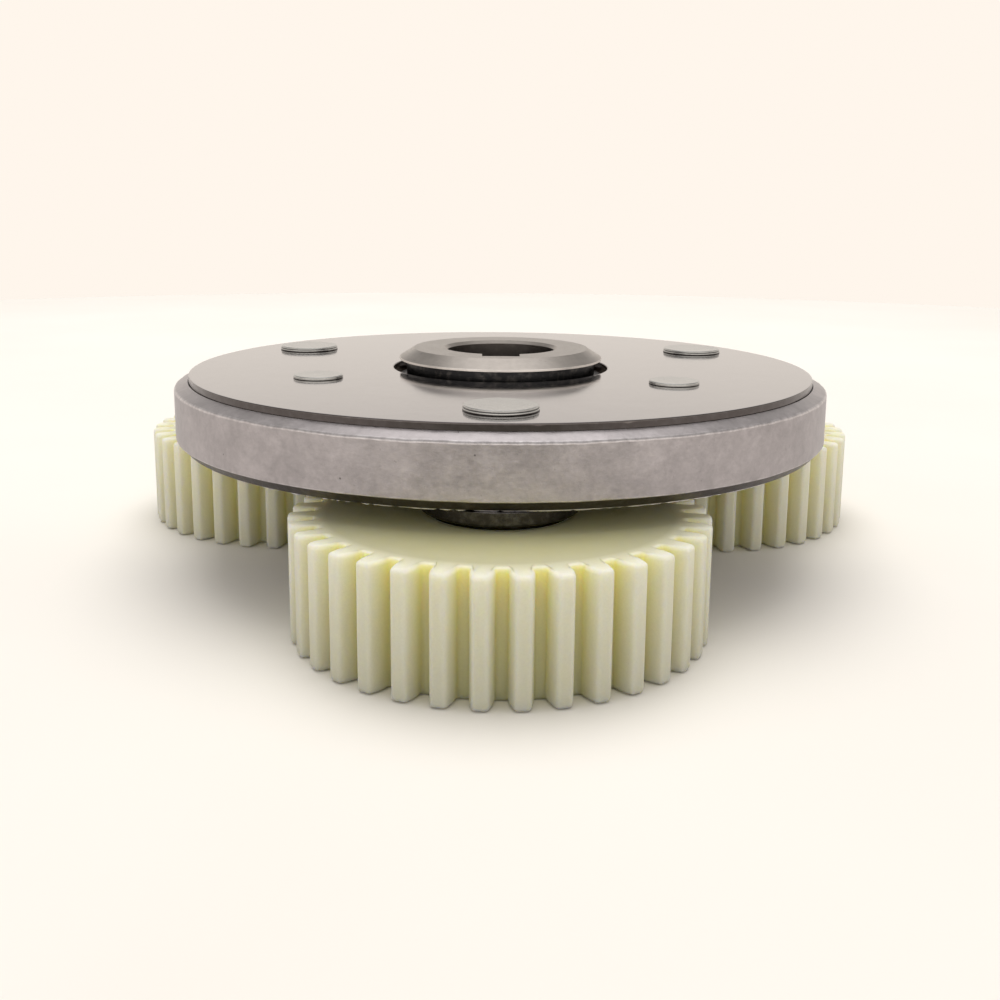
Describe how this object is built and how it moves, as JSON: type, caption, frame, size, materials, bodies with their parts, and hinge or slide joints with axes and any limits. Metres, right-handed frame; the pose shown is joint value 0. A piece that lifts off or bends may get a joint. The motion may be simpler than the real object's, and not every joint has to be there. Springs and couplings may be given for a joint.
{
  "type": "planetary gear carrier",
  "caption": "Planet carrier disc with a roller freewheel on a keyed hub, carrying nylon planet gears on riveted pins.",
  "frame": {"origin": "on the axle-bore axis, level with the underside of the bottom cover plate", "axes": "+Z along the bore towards the hub's cone, -Y towards the front planet gear and, at rest, the keyway"},
  "size_m": [0.0854, 0.0819, 0.0223],
  "materials": {
    "hub_steel": "turned steel, fine feed marks, light oil",
    "race_steel": "ground steel, satin",
    "plate_steel": "flat ground steel, slightly reflective",
    "pin_steel": "turned steel, riveted heads pressed flat",
    "nylon": "ivory moulded nylon, slightly translucent",
    "bearing_steel": "ground bearing steel",
    "shield_steel": "pressed sheet",
    "cage_plastic": "brown moulded polyamide",
    "bronze": "sintered bronze, oiled",
    "spring_steel": "drawn spring wire",
    "clip_steel": "phosphated black spring steel"
  },
  "bodies": {
    "hub": {"clutch_hub": "hub_steel", "roller_spring_1": "spring_steel", "roller_spring_2": "spring_steel", "roller_spring_3": "spring_steel", "roller_spring_4": "spring_steel", "roller_spring_5": "spring_steel", "roller_spring_6": "spring_steel"},
    "carrier": {"outer_race_ring": "race_steel", "top_cover_plate": "plate_steel", "bottom_cover_plate": "plate_steel", "upper_bush": "bronze", "lower_bush": "bronze", "cover_rivets": "pin_steel", "planet_pin_1": "pin_steel", "bearing_inner_ring_1": "bearing_steel", "pin_circlip_1": "clip_steel", "planet_pin_2": "pin_steel", "bearing_inner_ring_2": "bearing_steel", "pin_circlip_2": "clip_steel", "planet_pin_3": "pin_steel", "bearing_inner_ring_3": "bearing_steel", "pin_circlip_3": "clip_steel"},
    "planet_1": {"planet_gear_1": "nylon", "bearing_outer_ring_1": "bearing_steel", "bearing_shields_1": "shield_steel", "gear_circlip_1": "clip_steel"},
    "cage_1": {"ball_cage_1": "cage_plastic", "bearing_balls_1": "bearing_steel"},
    "planet_2": {"planet_gear_2": "nylon", "bearing_outer_ring_2": "bearing_steel", "bearing_shields_2": "shield_steel", "gear_circlip_2": "clip_steel"},
    "cage_2": {"ball_cage_2": "cage_plastic", "bearing_balls_2": "bearing_steel"},
    "planet_3": {"planet_gear_3": "nylon", "bearing_outer_ring_3": "bearing_steel", "bearing_shields_3": "shield_steel", "gear_circlip_3": "clip_steel"},
    "cage_3": {"ball_cage_3": "cage_plastic", "bearing_balls_3": "bearing_steel"},
    "roller_1": {"clutch_roller_1": "bearing_steel", "roller_plunger_1": "spring_steel"},
    "roller_2": {"clutch_roller_2": "bearing_steel", "roller_plunger_2": "spring_steel"},
    "roller_3": {"clutch_roller_3": "bearing_steel", "roller_plunger_3": "spring_steel"},
    "roller_4": {"clutch_roller_4": "bearing_steel", "roller_plunger_4": "spring_steel"},
    "roller_5": {"clutch_roller_5": "bearing_steel", "roller_plunger_5": "spring_steel"},
    "roller_6": {"clutch_roller_6": "bearing_steel", "roller_plunger_6": "spring_steel"}
  },
  "joints": [
    {"name": "freewheel", "type": "hinge", "parent": "hub", "child": "carrier", "pos_m": [0, 0, 0.0038], "axis": [0, 0, 1], "continuous": true},
    {"name": "planet_spin_1", "type": "hinge", "parent": "carrier", "child": "planet_1", "pos_m": [0, -0.02743, -0.007], "axis": [0, 0, 1], "continuous": true},
    {"name": "planet_spin_2", "type": "hinge", "parent": "carrier", "child": "planet_2", "pos_m": [0.02376, 0.01371, -0.007], "axis": [0, 0, 1], "continuous": true},
    {"name": "planet_spin_3", "type": "hinge", "parent": "carrier", "child": "planet_3", "pos_m": [-0.02376, 0.01371, -0.007], "axis": [0, 0, 1], "continuous": true},
    {"name": "cage_spin_1", "type": "hinge", "parent": "carrier", "child": "cage_1", "pos_m": [0, -0.02743, -0.007], "axis": [0, 0, 1], "continuous": true},
    {"name": "cage_spin_2", "type": "hinge", "parent": "carrier", "child": "cage_2", "pos_m": [0.02376, 0.01371, -0.007], "axis": [0, 0, 1], "continuous": true},
    {"name": "cage_spin_3", "type": "hinge", "parent": "carrier", "child": "cage_3", "pos_m": [-0.02376, 0.01371, -0.007], "axis": [0, 0, 1], "continuous": true},
    {"name": "roller_slide_1", "type": "slide", "parent": "hub", "child": "roller_1", "axis": [-0.9659, 0.2588, 0], "range_m": [0, 0.0009], "stiffness_N_per_m": 100, "springref_m": -0.0015, "deforming": ["roller_spring_1"]},
    {"name": "roller_slide_2", "type": "slide", "parent": "hub", "child": "roller_2", "axis": [-0.7071, -0.7071, 0], "range_m": [0, 0.0009], "stiffness_N_per_m": 100, "springref_m": -0.0015, "deforming": ["roller_spring_2"]},
    {"name": "roller_slide_3", "type": "slide", "parent": "hub", "child": "roller_3", "axis": [0.2588, -0.9659, 0], "range_m": [0, 0.0009], "stiffness_N_per_m": 100, "springref_m": -0.0015, "deforming": ["roller_spring_3"]},
    {"name": "roller_slide_4", "type": "slide", "parent": "hub", "child": "roller_4", "axis": [0.9659, -0.2588, 0], "range_m": [0, 0.0009], "stiffness_N_per_m": 100, "springref_m": -0.0015, "deforming": ["roller_spring_4"]},
    {"name": "roller_slide_5", "type": "slide", "parent": "hub", "child": "roller_5", "axis": [0.7071, 0.7071, 0], "range_m": [0, 0.0009], "stiffness_N_per_m": 100, "springref_m": -0.0015, "deforming": ["roller_spring_5"]},
    {"name": "roller_slide_6", "type": "slide", "parent": "hub", "child": "roller_6", "axis": [-0.2588, 0.9659, 0], "range_m": [0, 0.0009], "stiffness_N_per_m": 100, "springref_m": -0.0015, "deforming": ["roller_spring_6"]}
  ],
  "couplings": [
    {"joint": "cage_spin_1", "follows": "planet_spin_1", "ratio": 0.6323},
    {"joint": "cage_spin_2", "follows": "planet_spin_2", "ratio": 0.6323},
    {"joint": "cage_spin_3", "follows": "planet_spin_3", "ratio": 0.6323}
  ]
}
